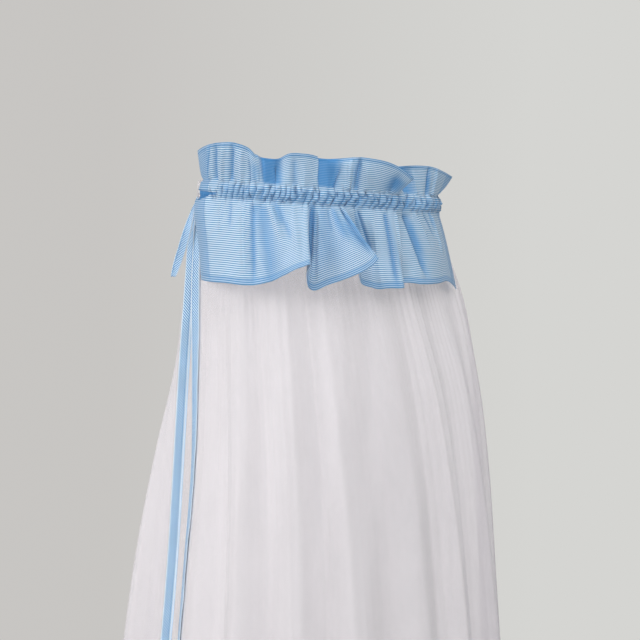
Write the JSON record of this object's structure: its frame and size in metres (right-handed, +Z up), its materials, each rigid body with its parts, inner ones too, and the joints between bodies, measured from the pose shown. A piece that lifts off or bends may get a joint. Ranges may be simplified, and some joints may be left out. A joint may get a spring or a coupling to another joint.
{
  "type": "mosquito net canopy on a hoop",
  "caption": "Sheer mosquito net gathered on a flat hoop, open down one side, with a striped frilled header, bound front edges and a tie tail.",
  "frame": {"origin": "on the hoop's back, in the middle of its strip, where a holder would carry it", "axes": "+Z up along the drop of the net, +Y towards the back, so the striped header faces -Y and the opening faces -X"},
  "size_m": [0.6269, 0.6041, 1.5104],
  "materials": {
    "hoop_white": "satin white",
    "sheer_net": "very fine sheer white net",
    "striped_cotton": "fine blue and white woven stripe",
    "striped_tape": "bias cut blue and white stripe"
  },
  "bodies": {
    "root": {"hoop": "hoop_white", "net": "sheer_net", "header_frill": "striped_cotton", "binding_near": "striped_tape", "binding_far": "striped_tape", "tie": "striped_tape"}
  },
  "joints": []
}
